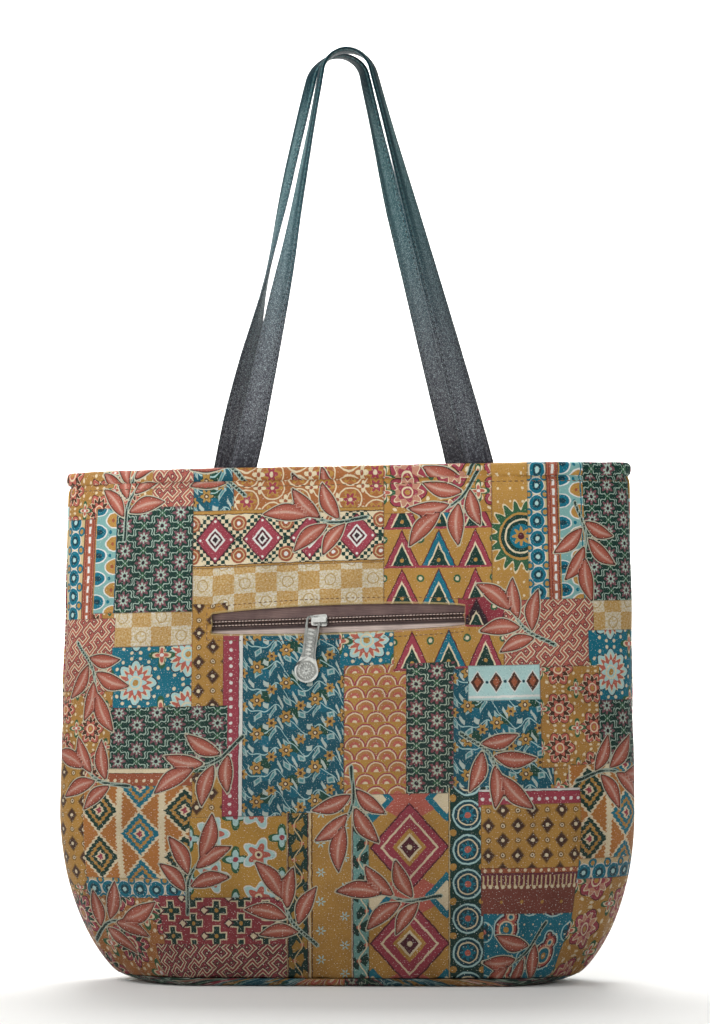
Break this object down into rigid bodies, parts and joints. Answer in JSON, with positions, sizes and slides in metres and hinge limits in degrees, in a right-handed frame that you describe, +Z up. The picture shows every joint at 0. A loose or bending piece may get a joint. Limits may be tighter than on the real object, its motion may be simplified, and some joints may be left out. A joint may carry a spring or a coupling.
{
  "type": "tote bag",
  "caption": "Soft patchwork-print tote bag with a boxed base, a zipped front pocket with slider and pull, and strap handles held up in an arch.",
  "frame": {"origin": "middle of the base's underside, on the surface that the bag stands on", "axes": "+Z up to the handles, -Y out of the front with the zip pocket, +X to the right as seen from the front"},
  "size_m": [0.382, 0.09, 0.6216],
  "materials": {
    "printed_cloth": "printed cotton canvas in ochre, coral, teal and green, slightly glazed",
    "lining_cloth": "plain woven lining",
    "strap": "grained dark leatherette, stitched along both edges",
    "zip_tape": "ribbed woven tape",
    "zip_teeth": "nylon coil",
    "zip_metal": "cast and plated, antique silver"
  },
  "bodies": {
    "bag": {"front_panel": "printed_cloth", "back_panel": "printed_cloth", "base_panel": "printed_cloth", "front_facing": "printed_cloth", "back_facing": "printed_cloth", "mouth_binding": "printed_cloth", "front_lining": "lining_cloth", "back_lining": "lining_cloth", "pocket_pouch": "lining_cloth", "front_handle": "strap", "back_handle": "strap", "zip_tape_upper": "zip_tape", "zip_tape_lower": "zip_tape", "zip_teeth_upper": "zip_teeth", "zip_teeth_lower": "zip_teeth", "zip_bottom_stop": "zip_metal", "zip_top_stops": "zip_metal"},
    "slider": {"zip_slider": "zip_metal"},
    "pull": {"zip_pull": "zip_metal"}
  },
  "joints": [
    {"name": "zip_slide", "type": "slide", "parent": "bag", "child": "slider", "axis": [0.9994, 0.0022, 0.0348], "range_m": [-0.062, 0.088]},
    {"name": "pull_swing", "type": "hinge", "parent": "slider", "child": "pull", "pos_m": [-0.02169, -0.03916, 0.23855], "axis": [0, -0.998, 0.0627], "range_deg": [-72, 33]}
  ]
}
